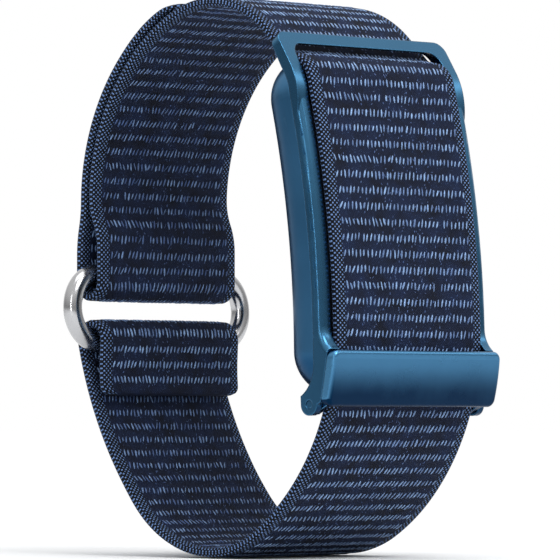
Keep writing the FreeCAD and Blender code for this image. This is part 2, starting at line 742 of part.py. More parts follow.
def make_clasp():
    """The hinged cover over the foot of the frame, and the two stub pins it turns on."""
    cover = new_body("clasp_cover")
    top_x, top_z = size("cover_top_x"), size("cover_top_z")
    foot_x, foot_z = size("cover_foot_x"), size("cover_foot_z")
    bevel, sheet_thick = size("cover_bevel"), size("cover_sheet")
    plate = new_sketch(cover, "XZ_Plane", "plate")
    outline(plate, [
        (foot_x + bevel, foot_z),
        (foot_x + sheet_thick, foot_z),
        (top_x + sheet_thick, top_z),
        (top_x, top_z),
        (foot_x, foot_z + bevel),
    ], {1: (size("cover_crown"), 1)})
    pad(cover, plate, "plate", size("frame_width"))

    foot = Vector((foot_x + sheet_thick).number, foot_z.number, 0)
    head = Vector((top_x + sheet_thick).number, top_z.number, 0)
    crown = arc_through(foot, head, NUMBERS["cover_crown"], 1).Center

    def is_cover_corner(edge, middle):
        return runs_along(edge, Vector(1, 0, 0))

    def is_front(edge, middle):
        return math.hypot(middle.x - crown.x, middle.z - crown.y) > NUMBERS["cover_crown"] - 0.01

    soften("Fillet", cover, "corners", size("cover_corner"), is_cover_corner)
    soften("Fillet", cover, "front", size("cover_round"), is_front)
    pivot = (size("pivot_x"), size("pivot_z"))
    reach = size("ear_radius")
    ears = new_sketch(cover, "XZ_Plane", "ears")
    outline(ears, [
        (pivot[0], pivot[1] - reach),
        (foot_x + 0.7, pivot[1] + 0.2),
        (foot_x + 0.9, pivot[1] + 2.6),
        (foot_x + 0.1, pivot[1] + 2.6),
        (pivot[0], pivot[1] + reach),
    ], {4: (reach, 1)})
    pad(cover, ears, "ears", size("ear_outside"))
    gap = new_sketch(cover, "XZ_Plane", "gap")
    outline(gap, [
        (pivot[0] - 2, foot_z - 2),
        (foot_x - 0.3, foot_z - 2),
        (foot_x + bevel - 0.3, foot_z - 0.3),
        (foot_x + bevel, foot_z),
        (foot_x, foot_z + bevel),
        (top_x, top_z),
        (pivot[0] - 2, top_z),
    ])
    pocket(cover, gap, "gap_cut", size("ear_inside"))
    eye = new_sketch(cover, "XZ_Plane", "eye")
    circle(eye, pivot, size("pin_radius") + size("pin_clearance"))
    pocket(cover, eye, "eye_cut", size("frame_width"))

    pins = doc.addObject("Part::Compound", "hinge_pins")
    pins.Label = "hinge_pins"
    links = []
    for name, start in (("near", "-Sizes.frame_width / 2 + 0.05"),
                        ("far", "Sizes.ear_inside / 2")):
        pin = doc.addObject("Part::Cylinder", f"hinge_pin_{name}")
        pin.setExpression("Radius", "Sizes.pin_radius")
        pin.setExpression("Height", "(Sizes.frame_width - Sizes.ear_inside) / 2 - 0.05")
        turn = FreeCAD.Rotation(Vector(1, 0, 0), -90)
        pin.Placement = FreeCAD.Placement(Vector(0, 0, 0), turn)
        pin.setExpression("Placement.Base.x", "Sizes.pivot_x")
        pin.setExpression("Placement.Base.y", start)
        pin.setExpression("Placement.Base.z", "Sizes.pivot_z")
        links.append(pin)
    pins.Links = links
    parts.append(pins)


# ---------------------------------------------------------------- pod


def stand(part, distance, angle, shift=None):
    """Set a part made at the origin on the bow: X outward along the radius at this angle."""
    shift = shift or ZERO
    place = on_bow(distance, angle)
    where = Vector(place[0].number, shift.number, place[1].number)
    turn = FreeCAD.Rotation(Vector(0, -1, 0), angle.number)
    part.Placement = FreeCAD.Placement(where, turn)
    part.setExpression("Placement.Base.x", place[0].text)
    part.setExpression("Placement.Base.y", shift.text)
    part.setExpression("Placement.Base.z", place[1].text)
    part.setExpression("Placement.Rotation.Angle", angle.text)


def flat_plate(label, thickness, across, along, corner=None, kept=True):
    """A flat plate made at the origin, square to X."""
    body = new_body(label, kept)
    face = new_sketch(body, "YZ_Plane", "face")
    rectangle(face, -across / 2, across / 2, -along / 2, along / 2)
    pad(body, face, "plate", thickness)
    if corner:
        soften("Fillet", body, "corners", corner,
               lambda edge, middle: runs_along(edge, Vector(1, 0, 0)))
    return body


def disc(label, radius, thickness, hole=None, kept=True):
    """A flat disc made at the origin, square to X."""
    body = new_body(label, kept)
    face = new_sketch(body, "YZ_Plane", "face")
    circle(face, (ZERO, ZERO), radius)
    if hole:
        circle(face, (ZERO, ZERO), hole)
    pad(body, face, "disc", thickness)
    return body


def group(label, members):
    """Several alike pieces kept as one part."""
    whole = doc.addObject("Part::Compound", label)
    whole.Label = label
    whole.Links = members
    parts.append(whole)


SENSOR = size("sensor_angle")
WINDOW_BACK = size("pod_back") - size("window_proud")
WINDOW_MIDDLE = WINDOW_BACK + size("window_thick") / 2
# Across and along the tracker, from the middle of the sensor.
LED_PLACES = [(-2.6, 0.0), (0.0, 0.0), (2.6, 0.0)]
DIODE_PLACES = [(-4.6, -3.4), (4.6, -3.4), (-4.6, 3.4), (4.6, 3.4)]


def make_pod_case():
    """The tub of the pod: pillowed towards the wrist, open to the front, with an opening for
    the optical window and one for the temperature contact."""
    tub = new_body("pod_tub", kept=False)
    blank = new_sketch(tub, "XZ_Plane", "blank")
    arc_band(blank, size("pod_back"), size("pod_front"), size("pod_low"), size("pod_high"))
    pad(tub, blank, "blank", size("pod_width"))

    def is_corner(edge, middle):
        return isinstance(edge.Curve, Part.Line) and abs(edge.Curve.Direction.y) < 0.01

    def is_back(edge, middle):
        return bow_radius(middle) < NUMBERS["pod_back"] + 0.01

    soften("Fillet", tub, "corners", size("pod_corner"), is_corner)
    soften("Fillet", tub, "pillow", size("pod_back_round"), is_back)
    bend = size("pod_front_end_round")
    reach = bend / size("pod_front") * DEGREES
    front, beyond = size("pod_front"), size("pod_front") + 1
    for name, end, way in (("low_end", size("pod_low"), 1), ("high_end", size("pod_high"), -1)):
        inward, outward = end + reach * way, end - way
        ends = new_sketch(tub, "XZ_Plane", name)
        outline(ends, [on_bow(front, inward), on_bow(beyond, inward), on_bow(beyond, outward),
                       on_bow(front - bend, outward), on_bow(front - bend, end)],
                {4: (bend, way)})
        pocket(tub, ends, f"{name}_cut", THROUGH)
    floor = size("pod_back") + size("pod_floor")
    cavity = new_sketch(tub, "XZ_Plane", "cavity")
    arc_band(cavity, floor, size("pod_front") + 1, size("cavity_low"), size("cavity_high"))
    pocket(tub, cavity, "cavity_cut", size("cavity_width"))
    rebate = new_sketch(tub, "XZ_Plane", "rebate")
    arc_band(rebate, size("ledge"), size("pod_front") + 1, size("lid_low") - 0.02,
             size("lid_high") + 0.02)
    pocket(tub, rebate, "rebate_cut", size("lid_width") + size("lid_gap") * 2)

    across, along, rim = size("window_across"), size("window_along"), size("window_rim")
    seat = flat_plate("window_seat", size("window_thick") + 1, across, along,
                      size("window_round"), kept=False)
    stand(seat, WINDOW_MIDDLE - 0.5, SENSOR)
    opening = flat_plate("window_opening", dim(4), across - rim * 2, along - rim * 2,
                         size("window_round") - rim, kept=False)
    stand(opening, floor, SENSOR)
    hole = disc("contact_hole", size("contact_radius"), dim(4), kept=False)
    stand(hole, floor, size("contact_angle"))
    tools = doc.addObject("Part::Compound", "case_openings")
    tools.Links = [seat, opening, hole]
    case = doc.addObject("Part::Cut", "pod_case")
    case.Label = "pod_case"
    case.Base = tub
    case.Tool = tools
    parts.append(case)


def make_pod_front():
    """The front cover, which fills the frame between the rails, on its gasket."""
    lid = new_body("pod_front_cover")
    base_back = size("ledge") + size("gasket_thick")
    base = new_sketch(lid, "XZ_Plane", "base")
    arc_band(base, base_back, size("pod_front") - 0.05, size("lid_low"), size("lid_high"))
    pad(lid, base, "base", size("lid_width"))
    plateau = new_sketch(lid, "XZ_Plane", "plateau")
    arc_band(plateau, size("pod_front") - 0.4, size("plateau_front"), size("plateau_low"),
             size("plateau_high"))
    pad(lid, plateau, "plateau", size("plateau_width"))

    gasket = new_body("seal_gasket")
    blank = new_sketch(gasket, "XZ_Plane", "blank")
    arc_band(blank, size("ledge"), base_back, size("lid_low"), size("lid_high"))
    pad(gasket, blank, "blank", size("lid_width"))
    inset = size("gasket_wide") / size("ledge") * DEGREES
    inner = new_sketch(gasket, "XZ_Plane", "inner")
    arc_band(inner, size("ledge") - 1, base_back + 1, size("lid_low") + inset,
             size("lid_high") - inset)
    pocket(gasket, inner, "inner_cut", size("lid_width") - size("gasket_wide") * 2)


def make_sensor():
    """Window, light barrier, board, emitters and photodiodes, from the wrist outward."""
    window = flat_plate("optical_window", size("window_thick"), size("window_across"),
                        size("window_along"), size("window_round"))
    stand(window, WINDOW_MIDDLE, SENSOR)

    rim = size("window_rim")
    clear = rim * 2 + 0.4
    barrier = flat_plate("light_barrier", size("barrier_thick"), size("window_across") - clear,
                         size("window_along") - clear, size("window_round") - rim)
    wells = new_sketch(barrier, "YZ_Plane", "wells")
    boxes = [(place, size("led_size")) for place in LED_PLACES]
    boxes += [(place, size("diode_size")) for place in DIODE_PLACES]
    for (across, along), side in boxes:
        reach = side / 2 + size("emitter_room") / 2
        rectangle(wells, dim(across) - reach, dim(across) + reach,
                  dim(along) - reach, dim(along) + reach)
    pocket(barrier, wells, "wells_cut", THROUGH)
    stand(barrier, size("barrier_back") + size("barrier_thick") / 2, SENSOR)

    board = flat_plate("sensor_board", size("sensor_board_thick"), dim(17), dim(12), dim(1))
    stand(board, size("sensor_board_back") + size("sensor_board_thick") / 2, SENSOR)

    for label, side, places in (("leds", "led_size", LED_PLACES),
                                ("photodiodes", "diode_size", DIODE_PLACES)):
        members = []
        for number, (across, along) in enumerate(places, start=1):
            chip = doc.addObject("Part::Box", f"{label}_{number}")
            chip.setExpression("Length", "Sizes.emitter_thick")
            chip.setExpression("Width", f"Sizes.{side}")
            chip.setExpression("Height", f"Sizes.{side}")
            corner = size("sensor_board_back") - size("emitter_thick")
            rise = dim(along) - size(side) / 2
            where = on_bow(corner, SENSOR)
            place = (where[0] - rise * sine(SENSOR), where[1] + rise * cosine(SENSOR))
            turn = FreeCAD.Rotation(Vector(0, -1, 0), SENSOR.number)
            chip.Placement = FreeCAD.Placement(Vector(0, 0, 0), turn)
            chip.setExpression("Placement.Base.x", place[0].text)
            chip.setExpression("Placement.Base.y", (dim(across) - size(side) / 2).text)
            chip.setExpression("Placement.Base.z", place[1].text)
            chip.setExpression("Placement.Rotation.Angle", "Sizes.sensor_angle")
            members.append(chip)
        group(label, members)

    contact = disc("skin_contact", size("contact_radius"), size("contact_thick"))
    stand(contact, size("pod_back") - size("contact_proud") + size("contact_thick") / 2,
          size("contact_angle"))


def make_electronics():
    """Cell, boards, motor and charging coil, packed side by side in the tub."""
    cell_low, cell_high = size("battery_low"), size("battery_high")
    adhesive_front = size("adhesive_back") + size("adhesive_thick")
    bow_slab("battery_adhesive", size("adhesive_back"), adhesive_front, cell_low + 0.5,
             cell_high - 0.5, size("battery_width") - 3)
    bow_slab("battery", adhesive_front, size("battery_front"), cell_low, cell_high,
             size("battery_width"))
    board_front = size("main_board_back") + size("main_board_thick")
    shift = size("main_board_shift")
    bow_slab("main_board", size("main_board_back"), board_front, size("main_board_low"),
             size("main_board_high"), size("main_board_width"), shift)
    # Processor with radio, memory and charger, across and up the board: width, height.
    chips = []
    for number, (across, angle, width, height) in enumerate(
            ((-2.6, 4.6, 5.0, 4.4), (3.6, 4.7, 3.4, 3.4), (-2.8, 2.2, 4.2, 3.0),
             (3.4, 2.2, 3.0, 3.6)), start=1):
        chip = flat_plate(f"chip_{number}", size("chip_thick"), dim(width), dim(height),
                          kept=False)
        stand(chip, board_front + size("chip_thick") / 2 + 0.02, dim(angle), shift + across)
        chips.append(chip)
    group("main_chips", chips)
    flex_back = size("sensor_board_back") + size("sensor_board_thick") + 0.2
    bow_slab("flex_cable", flex_back + 0.1, size("main_board_back"), dim(4.4), dim(5.6),
             size("flex_wide"), shift)
    motor = disc("vibration_motor", size("motor_radius"), size("motor_thick"))
    stand(motor, size("motor_back") + size("motor_thick") / 2, size("motor_angle"),
          size("motor_shift"))
    ferrite = flat_plate("ferrite_sheet", size("ferrite_thick"), size("ferrite_size"),
                         size("ferrite_size"), dim(1.5))
    stand(ferrite, size("ferrite_back") + size("ferrite_thick") / 2, size("coil_angle"))
    coil = disc("charging_coil", size("coil_outer"), size("coil_thick"), size("coil_inner"))
    stand(coil, size("coil_back") + size("coil_thick") / 2, size("coil_angle"))


make_strap()
make_tail()
make_stitches()
make_ring()
make_frame()
make_clasp()
make_pod_case()
make_pod_front()
make_sensor()
make_electronics()

# ---------------------------------------------------------------- check and write

doc.recompute()
for item in doc.Objects:
    bad = [word for word in item.State if word in ("Invalid", "Error")]
    assert not bad, (item.Name, item.State)
os.makedirs("parts", exist_ok=True)
for part in parts:
    shape = part.Shape
    assert not shape.isNull() and shape.isValid(), part.Label
    shape.exportStep(f"parts/{part.Label}.step")
    print(part.Label, round(shape.Volume, 2), "mm3,", len(shape.Solids), "solid(s)")
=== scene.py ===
"""Fitness tracker band: materials, knit fabric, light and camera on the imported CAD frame."""

import math

import bpy
import numpy as np
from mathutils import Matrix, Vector


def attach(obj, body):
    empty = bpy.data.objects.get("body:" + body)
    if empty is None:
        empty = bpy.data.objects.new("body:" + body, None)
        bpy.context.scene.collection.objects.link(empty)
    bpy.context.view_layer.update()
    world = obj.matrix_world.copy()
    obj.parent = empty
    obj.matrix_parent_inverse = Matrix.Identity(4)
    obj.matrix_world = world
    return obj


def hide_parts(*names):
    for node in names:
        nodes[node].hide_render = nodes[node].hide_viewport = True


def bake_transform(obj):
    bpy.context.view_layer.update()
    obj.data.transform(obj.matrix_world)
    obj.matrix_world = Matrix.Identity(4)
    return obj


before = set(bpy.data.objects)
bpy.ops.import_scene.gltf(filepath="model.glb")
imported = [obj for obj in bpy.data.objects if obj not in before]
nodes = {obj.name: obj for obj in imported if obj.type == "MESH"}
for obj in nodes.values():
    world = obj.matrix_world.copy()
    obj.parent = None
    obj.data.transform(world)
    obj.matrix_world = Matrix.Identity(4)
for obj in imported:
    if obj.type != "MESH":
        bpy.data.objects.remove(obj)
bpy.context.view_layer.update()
rng = np.random.default_rng(7)
MM = 0.001

AZIMUTH = math.radians(44)
ELEVATION = math.radians(-1.5)
RIGHT = Vector((math.cos(AZIMUTH), math.sin(AZIMUTH), 0))
AWAY = Vector((math.sin(AZIMUTH) * math.cos(ELEVATION), -math.cos(AZIMUTH) * math.cos(ELEVATION),
               math.sin(ELEVATION)))

# ---------------------------------------------------------------- shader helpers


class Shader:
    """A material's node tree with short ways to add and link nodes."""

    def __init__(self, name):
        self.material = bpy.data.materials.new(name)
        self.material.use_nodes = True
        self.tree = self.material.node_tree
        self.surface = self.tree.nodes["Principled BSDF"]

    def node(self, kind, settings=None, **inputs):
        made = self.tree.nodes.new(kind)
        for name, value in (settings or {}).items():
            setattr(made, name, value)
        for name, value in inputs.items():
            self.plug(made.inputs[name.replace("_", " ")], value)
        return made

    def plug(self, socket, value):
        if isinstance(value, bpy.types.NodeSocket):
            self.tree.links.new(value, socket)
        else:
            socket.default_value = value

    def math(self, operation, first, second=0.0):
        made = self.tree.nodes.new("ShaderNodeMath")
        made.operation = operation
        self.plug(made.inputs[0], first)
        self.plug(made.inputs[1], second)
        return made.outputs[0]

    def span(self, value, low, high, to_low=0.0, to_high=1.0, smooth=False):
        made = self.tree.nodes.new("ShaderNodeMapRange")
        made.interpolation_type = "SMOOTHSTEP" if smooth else "LINEAR"
        self.plug(made.inputs["Value"], value)
        made.inputs["From Min"].default_value = low
        made.inputs["From Max"].default_value = high
        made.inputs["To Min"].default_value = to_low
        made.inputs["To Max"].default_value = to_high
        return made.outputs["Result"]

    def mix(self, factor, first, second):
        made = self.tree.nodes.new("ShaderNodeMix")
        made.data_type = "RGBA"
        self.plug(made.inputs[0], factor)
        self.plug(made.inputs[6], first)
        self.plug(made.inputs[7], second)
        return made.outputs[2]

    def noise(self, scale, detail=3.0, where=None):
        made = self.node("ShaderNodeTexNoise", Scale=scale, Detail=detail)
        self.tree.links.new(where or self.place(), made.inputs["Vector"])
        return made.outputs["Fac"]

    def place(self):
        return self.node("ShaderNodeTexCoord").outputs["Object"]

    def attribute(self, name):
        return self.node("ShaderNodeAttribute", {"attribute_name": name}).outputs["Fac"]

    def bump(self, height, distance, strength=1.0, normal=None):
        made = self.node("ShaderNodeBump", Strength=strength, Distance=distance, Height=height)
        if normal:
            self.tree.links.new(normal, made.inputs["Normal"])
        return made.outputs["Normal"]

    def set(self, **inputs):
        for name, value in inputs.items():
            self.plug(self.surface.inputs[name.replace("_", " ")], value)
        return self


def rgb(red, green, blue):
    """Linear colour from the usual 0 to 255 screen values."""
    def linear(value):
        value /= 255
        return value / 12.92 if value <= 0.04045 else ((value + 0.055) / 1.055) ** 2.4
    return (linear(red), linear(green), linear(blue), 1.0)


def plain(name, colour, roughness, metallic=0.0, grain=0.02, grain_scale=2500.0, vary=0.18,
          edge=0.06, **more):
    """A solid material with slight colour and roughness variation and a fine grain."""
    shader = Shader(name)
    patches = shader.noise(260.0, 4.0)
    darker = tuple(part * (1 - vary) for part in colour[:3]) + (1.0,)
    rounded = shader.node("ShaderNodeBevel", {"samples": 6}, Radius=edge * MM).outputs["Normal"]
    normal = shader.bump(shader.noise(grain_scale, 2.0), grain * MM, 0.5, rounded)
    shader.set(Base_Color=shader.mix(patches, colour, darker), Metallic=metallic,
               Roughness=shader.span(patches, 0.3, 0.7, roughness * 0.9, roughness * 1.1),
               Normal=normal, **more)
    return shader.material


# ---------------------------------------------------------------- materials


def anodised_with_painted_shade(name, light, dark, roughness, low=-0.32, high=0.30):
    """Blue anodised metal with a fine satin blast, and painted shade: lighter where the surface
    faces up, darker where it faces down.
    """
    shader = Shader(name)
    # Painted shade: the colour runs from the dark to the light colour as the surface normal turns
    # from facing down to facing up, with a slight random mottle added.
    facing = shader.node("ShaderNodeSeparateXYZ",
                         Vector=shader.node("ShaderNodeNewGeometry").outputs["Normal"])
    painted_shade_and_mottle = shader.span(facing.outputs["Z"], low, high, smooth=True)
    cloud = shader.noise(180.0, 3.0)
    painted_shade_and_mottle = shader.math("ADD", painted_shade_and_mottle, shader.span(cloud, 0.3, 0.7, -0.04, 0.04))
    rounded = shader.node("ShaderNodeBevel", {"samples": 8}, Radius=0.22 * MM).outputs["Normal"]
    blast = shader.bump(shader.noise(9000.0, 2.0), 0.004 * MM, 0.35, rounded)
    shader.set(Base_Color=shader.mix(painted_shade_and_mottle, dark, light), Metallic=1.0, Normal=blast,
               Roughness=shader.span(cloud, 0.3, 0.7, roughness * 0.92, roughness * 1.08))
    return shader.material


EDGE_START = 11.0
DOTS_ACROSS, DOTS_ALONG = 0.66, 0.56


def fabric(name):
    """Knit base: navy ground with paler flecks, and a checked weave along both edges."""
    shader = Shader(name)
    across, along = shader.attribute("across"), shader.attribute("along")
    grid = shader.node("ShaderNodeCombineXYZ", X=across, Y=along).outputs["Vector"]
    # Selvedge: dots of pale thread in a diagonal check on black.
    wave_a = shader.math("SINE", shader.math("MULTIPLY", across, 2 * math.pi / DOTS_ACROSS))
    wave_b = shader.math("SINE", shader.math("MULTIPLY", along, 2 * math.pi / DOTS_ALONG))
    check = shader.math("MULTIPLY", wave_a, wave_b)
    uneven = shader.noise(1.6, 3.0, grid)
    dots = shader.span(shader.math("ADD", check, shader.span(uneven, 0.3, 0.7, -0.25, 0.2)),
                       0.22, 0.60, smooth=True)
    edge = shader.span(shader.math("ABSOLUTE", across), EDGE_START, EDGE_START + 0.15)
    # Ground: mottled navy with short pale flecks between the rows.
    cloud = shader.noise(0.34, 4.0, grid)
    fine = shader.noise(5.5, 4.0, grid)
    flecks = shader.span(fine, 0.60, 0.72, smooth=True)
    ground = shader.mix(shader.span(cloud, 0.32, 0.68), rgb(6, 12, 29), rgb(16, 30, 60))
    ground = shader.mix(shader.math("MULTIPLY", flecks, shader.span(cloud, 0.4, 0.65, 0.12, 0.6)),
                        ground, rgb(92, 124, 176))
    border = shader.mix(dots, rgb(2, 4, 11), rgb(104, 134, 184))
    colour = shader.mix(edge, ground, border)
    loops = shader.math("SINE", shader.math("MULTIPLY", across, 2 * math.pi / 0.34))
    ribs = shader.math("SINE", shader.math("MULTIPLY", along, 2 * math.pi / 0.31))
    knit = shader.math("ADD", shader.math("MULTIPLY", loops, ribs),
                       shader.math("MULTIPLY", fine, 2.0))
    relief = shader.math("ADD", shader.math("MULTIPLY", knit, shader.math("SUBTRACT", 1.0, edge)),
                         shader.math("MULTIPLY", shader.math("MULTIPLY", check, 1.6), edge))
    shader.set(Base_Color=colour, Roughness=0.82,
               Sheen_Weight=0.03, Sheen_Roughness=0.5, Sheen_Tint=rgb(120, 150, 200),
               Normal=shader.bump(relief, 0.05 * MM, 0.8), Specular_IOR_Level=0.2)
    return shader.material


def yarn(name, low, high):
    """Pale thread with a twist along each stitch."""
    shader = Shader(name)
    shade = shader.attribute("shade")
    strands = shader.noise(5200.0, 3.0)
    colour = shader.mix(shade, low, high)
    deep = shader.mix(0.55, colour, rgb(20, 34, 70))
    shader.set(Base_Color=shader.mix(shader.span(strands, 0.35, 0.65), deep, colour),
               Roughness=0.6, Sheen_Weight=0.3, Sheen_Roughness=0.4,
               Normal=shader.bump(strands, 0.03 * MM, 0.7))
    return shader.material


# Painted shade: each pair is the colour painted where the surface faces up and where it faces down.
# The cover's narrower range paints its top lighter and its foot darker.
blue_metal = anodised_with_painted_shade("blue_metal", rgb(66, 118, 154), rgb(16, 50, 80), 0.26)
cover_metal = anodised_with_painted_shade("cover_metal", rgb(80, 138, 180), rgb(8, 38, 66), 0.28, -0.26, 0.0)
blue_shell = anodised_with_painted_shade("blue_shell", rgb(70, 122, 162), rgb(28, 72, 108), 0.33)
knit_cloth = fabric("knit_cloth")
knit_yarn = yarn("knit_yarn", rgb(60, 92, 148), rgb(146, 182, 230))
steel = plain("steel", (0.52, 0.52, 0.53, 1), 0.19, 1.0, grain=0.0, vary=0.03, edge=0.05)
front_plate = plain("front_plate", rgb(30, 34, 42), 0.45)
hook_tape = plain("hook_tape", rgb(14, 20, 40), 0.8, grain=0.12, grain_scale=3200.0)
thread = plain("thread", rgb(30, 46, 84), 0.75, grain=0.05, grain_scale=6000.0)
seal = plain("seal", rgb(24, 24, 26), 0.7)
optic = plain("optic", rgb(12, 12, 16), 0.06, grain=0.0, Coat_Weight=1.0, Coat_Roughness=0.03)
barrier = plain("barrier", rgb(10, 10, 11), 0.85)
solder_mask = plain("solder_mask", rgb(16, 70, 44), 0.4)
packages = plain("packages", rgb(30, 31, 34), 0.5)
emitter = plain("emitter", rgb(170, 230, 160), 0.15, grain=0.0)
silicon = plain("silicon", rgb(60, 50, 90), 0.12, grain=0.0)
pouch = plain("pouch", rgb(150, 154, 160), 0.35, 0.7)
tape = plain("tape", rgb(226, 224, 208), 0.7)
film = plain("film", rgb(176, 106, 34), 0.35)
copper = plain("copper", rgb(196, 110, 60), 0.3, 1.0, grain=0.05, grain_scale=4200.0)
ferrite = plain("ferrite", rgb(58, 58, 62), 0.6)
plated = plain("plated", rgb(190, 192, 196), 0.28, 1.0)
contact = plain("contact", rgb(200, 196, 188), 0.18, 1.0, grain=0.002)

FINISH = {
    "frame": blue_metal, "clasp_cover": cover_metal, "hinge_pins": blue_metal,
    "hook_patch": hook_tape, "fold_stitching": thread, "oval_ring": steel,
    "pod_case": blue_shell, "pod_front_cover": front_plate, "seal_gasket": seal,
    "optical_window": optic, "light_barrier": barrier, "sensor_board": solder_mask,
    "leds": emitter, "photodiodes": silicon, "skin_contact": contact,
    "battery_adhesive": tape, "battery": pouch, "main_board": solder_mask,
    "main_chips": packages, "flex_cable": film, "vibration_motor": plated,
    "ferrite_sheet": ferrite, "charging_coil": copper,
}
for name, material in FINISH.items():
    mesh = nodes[name].data
    mesh.materials.clear()
    mesh.materials.append(material)
    mesh.shade_smooth()
    mesh.set_sharp_from_angle(angle=math.radians(28))
    weighted = nodes[name].modifiers.new("normals", "WEIGHTED_NORMAL")
    weighted.keep_sharp = True

# ---------------------------------------------------------------- strap paths

STEP = 0.24


class Path:
    """A centre line in the XZ plane, in mm, with its heading at each point."""

    def __init__(self, x, z, heading):
        self.points = [(x, z, math.radians(heading))]

    def move(self, length, turn):
        count = max(2, round(length / STEP))
        for _ in range(count):
            x, z, heading = self.points[-1]
            bend = turn / count
            step = length / count
            if abs(bend) > 1e-9:
                radius = step / bend
                x += radius * (math.sin(heading + bend) - math.sin(heading))
                z -= radius * (math.cos(heading + bend) - math.cos(heading))
            else:
                x += step * math.cos(heading)
                z += step * math.sin(heading)
            self.points.append((x, z, heading + bend))
        return self

    def left(self, radius, degrees):
        return self.move(radius * math.radians(degrees), math.radians(degrees))

    def right(self, radius, degrees):
        return self.move(radius * math.radians(degrees), -math.radians(degrees))

    def line(self, length):
        return self.move(length, 0.0)

    def left_to(self, radius, heading):
        return self.left(radius, (heading - math.degrees(self.points[-1][2])) % 360)

    def right_to(self, radius, heading):
        return self.right(radius, (math.degrees(self.points[-1][2]) - heading) % 360)

    def backwards(self):
        self.points = [(x, z, heading + math.pi) for x, z, heading in reversed(self.points)]
        return self


def bearing(start, end):
    """Direction from one point to another, in degrees."""
    return math.degrees(math.atan2(end[1] - start[1], end[0] - start[0]))


def meeting(first, first_reach, second, second_reach):
    """The point at these distances from two centres, on the left going from first to second."""
    first, second = np.array(first), np.array(second)
    apart = np.hypot(*(second - first))
    ahead = (second - first) / apart
    run = (first_reach ** 2 - second_reach ** 2 + apart ** 2) / (2 * apart)
    side = math.sqrt(first_reach ** 2 - run ** 2)
    return first + ahead * run + np.array([-ahead[1], ahead[0]]) * side


# The strap's middle line in mm and degrees. It starts at the foot of the loop. Bends that meet
# smoothly fix each other's ends, so only these sizes are given and the rest is worked out.
STRAP_THICK = 1.0
FOOT = (0.0, -32.75)
CROWN_Z = 32.85
BOW_CENTRE = (-109.2, -10.0)
FOOT_BEND, LOW_BEND, FACE_BEND = 15.2, 27.95, 130.4
FACE_END_Z = 23.3
SLOT_IN_BEND, SLOT_IN_TURN = 3.0, 73.2
SLOT_OUT_BEND, SLOT_OUT_TURN = 2.2, 42.0
CROWN_BEND, CROWN_TURN = 15.78, 25.75
BACK_BEND, BACK_TURN = 24.23, 61.05
RING_BEND = 8.0
UPPER_FOLD_X, UPPER_FOLD_Z = -20.89, -0.25
UPPER_FOLD_BEND = 1.25 + STRAP_THICK / 2
BACK_FOOT_BEND, BACK_FOOT_TURN = 16.84, 50.4
LOWER_FOLD = (-20.5, -7.25)
LOWER_FOLD_BEND, LOWER_FOLD_TURN = 1.45 + STRAP_THICK / 2, 196.0
SEWN_RUN, SEWN_BEND, SEWN_TURN = 2.2, 22.0, 11.5
ROOT_X, ROOT_Z = UPPER_FOLD_X - UPPER_FOLD_BEND, 1.0
TAIL_START_Z = 3.05
TAIL_GAP = 0.4
TAIL_ROOT_BEND, TAIL_BACK_TURN = 16.5, 58.0
TAIL_TIP_BEND, TAIL_TIP_TURN = 12.5, 19.0


def front_run():
    """Up behind the cover, over the tracker, through the slot, over the crown and round the
    ring's upper side."""
    foot_centre = (FOOT[0], FOOT[1] + FOOT_BEND)
    low_centre = meeting(BOW_CENTRE, FACE_BEND - LOW_BEND, foot_centre, LOW_BEND - FOOT_BEND)
    face_end = math.degrees(math.asin((FACE_END_Z - BOW_CENTRE[1]) / FACE_BEND)) + 90
    run = Path(*FOOT, 0).left_to(FOOT_BEND, bearing(low_centre, foot_centre) + 90)
    run.left_to(LOW_BEND, bearing(BOW_CENTRE, low_centre) + 90).left_to(FACE_BEND, face_end)
    run.left(SLOT_IN_BEND, SLOT_IN_TURN).right(SLOT_OUT_BEND, SLOT_OUT_TURN)
    # A straight and one bend bring it level at the crown.
    x, z, heading = run.points[-1]
    cosine, sine = math.cos(heading), math.sin(heading)
    straight, bend = np.linalg.solve([[cosine, -sine], [sine, 1 + cosine]], [-x, CROWN_Z - z])
    run.line(straight).left_to(bend, 180)
    run.left(CROWN_BEND, CROWN_TURN).left(BACK_BEND, BACK_TURN)
    # Two equal bends shift it sideways to hang straight down into the fold.
    x, z, heading = run.points[-1]
    shift = UPPER_FOLD_X + UPPER_FOLD_BEND - x
    lean = math.acos((1 - shift / RING_BEND - math.sin(heading)) / 2)
    run.left_to(RING_BEND, 270 + math.degrees(lean)).right_to(RING_BEND, 270)
    run.line(run.points[-1][1] - UPPER_FOLD_Z)
    return run.right(UPPER_FOLD_BEND, 180.0).line(ROOT_Z - UPPER_FOLD_Z)


def back_run():
    """From the foot the other way, round the ring's lower side to the sewn end."""
    run = Path(*FOOT, 180).right(BACK_FOOT_BEND, BACK_FOOT_TURN)
    # One bend leads smoothly into the fold.
    x, z, heading = run.points[-1]
    inward = np.array([math.sin(heading), -math.cos(heading)])
    offset = np.array([x, z]) - LOWER_FOLD
    bend = (LOWER_FOLD_BEND ** 2 - offset @ offset) / (2 * (offset @ inward + LOWER_FOLD_BEND))
    centre = np.array([x, z]) + bend * inward
    run.right_to(bend, bearing(centre, LOWER_FOLD) - 90)
    return run.right(LOWER_FOLD_BEND, LOWER_FOLD_TURN).line(SEWN_RUN).left(SEWN_BEND, SEWN_TURN)


